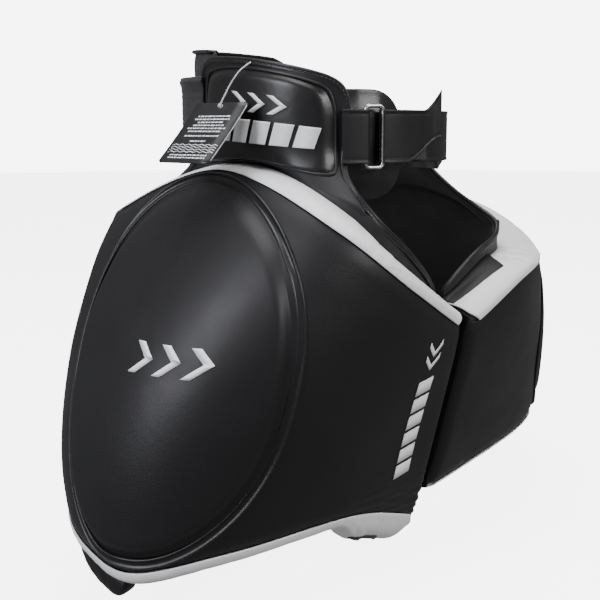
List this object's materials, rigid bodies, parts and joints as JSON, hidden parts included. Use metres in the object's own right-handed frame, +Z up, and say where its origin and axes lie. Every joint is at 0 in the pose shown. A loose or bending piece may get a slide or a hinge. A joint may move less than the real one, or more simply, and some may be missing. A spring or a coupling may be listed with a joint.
{
  "type": "thigh pad belt set",
  "caption": "Martial-arts coach's thigh-pad belt: two thick black shields with white edges hung from a padded waist belt that closes with a ring and hook-and-loop strap.",
  "frame": {"origin": "inside the waist loop on the wearer's centre line, at mid-height of the closing strap", "axes": "+Z up, the wearer faces -Y, the wearer's right is -X"},
  "size_m": [0.6878, 0.348, 0.532],
  "materials": {
    "black_leather": "satin",
    "white_leather": "satin",
    "foam": "matte",
    "lining_fabric": "matte",
    "piping": "satin",
    "webbing": "matte",
    "hook_fabric": "matte",
    "steel": "polished",
    "tag_card": "satin",
    "tag_string": "matte"
  },
  "bodies": {
    "root": {"back_belt": "black_leather", "closing_strap": "black_leather", "ring_loop": "black_leather", "tag_string": "tag_string", "right_hip_tab": "black_leather", "right_tab_binding": "piping", "right_badge_pad": "black_leather", "right_front_panel": "black_leather", "right_side_strap": "webbing", "left_hip_tab": "black_leather", "left_tab_binding": "piping", "left_badge_pad": "black_leather", "left_front_panel": "black_leather", "left_side_strap": "webbing"},
    "right_shield": {"right_foam_core": "foam", "right_front_cover": "black_leather", "right_top_gusset": "white_leather", "right_bottom_gusset": "white_leather", "right_lining": "lining_fabric", "right_knee_flap": "black_leather", "right_centre_gusset": "black_leather", "right_rear_gusset": "black_leather", "right_strike_pad": "black_leather", "right_strike_piping": "piping", "right_upper_strap": "webbing", "right_upper_ring_strap": "webbing", "right_lower_strap": "webbing", "right_lower_ring_strap": "webbing"},
    "left_shield": {"left_foam_core": "foam", "left_front_cover": "black_leather", "left_top_gusset": "white_leather", "left_bottom_gusset": "white_leather", "left_lining": "lining_fabric", "left_knee_flap": "black_leather", "left_centre_gusset": "black_leather", "left_rear_gusset": "black_leather", "left_strike_pad": "black_leather", "left_strike_piping": "piping", "left_upper_strap": "webbing", "left_upper_ring_strap": "webbing", "left_lower_strap": "webbing", "left_lower_ring_strap": "webbing"},
    "front_ring": {"front_ring": "steel"},
    "strap_end": {"closing_strap_end": "black_leather", "strap_hook_patch": "hook_fabric"},
    "tag": {"tag": "tag_card"},
    "right_upper_ring": {"right_upper_ring": "steel"},
    "right_upper_tail": {"right_upper_strap_tail": "hook_fabric"},
    "right_lower_ring": {"right_lower_ring": "steel"},
    "right_lower_tail": {"right_lower_strap_tail": "hook_fabric"},
    "left_upper_ring": {"left_upper_ring": "steel"},
    "left_upper_tail": {"left_upper_strap_tail": "hook_fabric"},
    "left_lower_ring": {"left_lower_ring": "steel"},
    "left_lower_tail": {"left_lower_strap_tail": "hook_fabric"}
  },
  "joints": [
    {"name": "right_shield_swing", "type": "hinge", "parent": "root", "child": "right_shield", "pos_m": [-0.15, 0, -0.024], "axis": [0, 1, 0], "range_deg": [0, 25]},
    {"name": "left_shield_swing", "type": "hinge", "parent": "root", "child": "left_shield", "pos_m": [0.14, 0, -0.024], "axis": [0, -1, 0], "range_deg": [0, 25]},
    {"name": "front_ring_pivot", "type": "hinge", "parent": "root", "child": "front_ring", "pos_m": [-0.09233, -0.13508, 0], "axis": [0, 0, -1], "range_deg": [0, 20]},
    {"name": "closing_strap_peel", "type": "hinge", "parent": "front_ring", "child": "strap_end", "pos_m": [-0.07459, -0.14189, 0], "axis": [0, 0, -1], "range_deg": [0, 90]},
    {"name": "tag_swing", "type": "hinge", "parent": "root", "child": "tag", "pos_m": [-0.1705, -0.01632, 0.033], "axis": [-0.1, 0.995, 0], "range_deg": [-5, 20]},
    {"name": "right_upper_ring_pivot", "type": "hinge", "parent": "right_shield", "child": "right_upper_ring", "pos_m": [-0.04496, 0.0046, -0.255], "axis": [0, 0, -1], "range_deg": [0, 20]},
    {"name": "right_upper_tail_peel", "type": "hinge", "parent": "right_upper_ring", "child": "right_upper_tail", "pos_m": [-0.05104, 0.0194, -0.255], "axis": [0, 0, -1], "range_deg": [0, 80]},
    {"name": "right_lower_ring_pivot", "type": "hinge", "parent": "right_shield", "child": "right_lower_ring", "pos_m": [-0.04496, 0.0046, -0.335], "axis": [0, 0, -1], "range_deg": [0, 20]},
    {"name": "right_lower_tail_peel", "type": "hinge", "parent": "right_lower_ring", "child": "right_lower_tail", "pos_m": [-0.05104, 0.0194, -0.335], "axis": [0, 0, -1], "range_deg": [0, 80]},
    {"name": "left_upper_ring_pivot", "type": "hinge", "parent": "left_shield", "child": "left_upper_ring", "pos_m": [0.04496, 0.0046, -0.255], "axis": [0, 0, 1], "range_deg": [0, 20]},
    {"name": "left_upper_tail_peel", "type": "hinge", "parent": "left_upper_ring", "child": "left_upper_tail", "pos_m": [0.05104, 0.0194, -0.255], "axis": [0, 0, 1], "range_deg": [0, 80]},
    {"name": "left_lower_ring_pivot", "type": "hinge", "parent": "left_shield", "child": "left_lower_ring", "pos_m": [0.04496, 0.0046, -0.335], "axis": [0, 0, 1], "range_deg": [0, 20]},
    {"name": "left_lower_tail_peel", "type": "hinge", "parent": "left_lower_ring", "child": "left_lower_tail", "pos_m": [0.05104, 0.0194, -0.335], "axis": [0, 0, 1], "range_deg": [0, 80]}
  ]
}
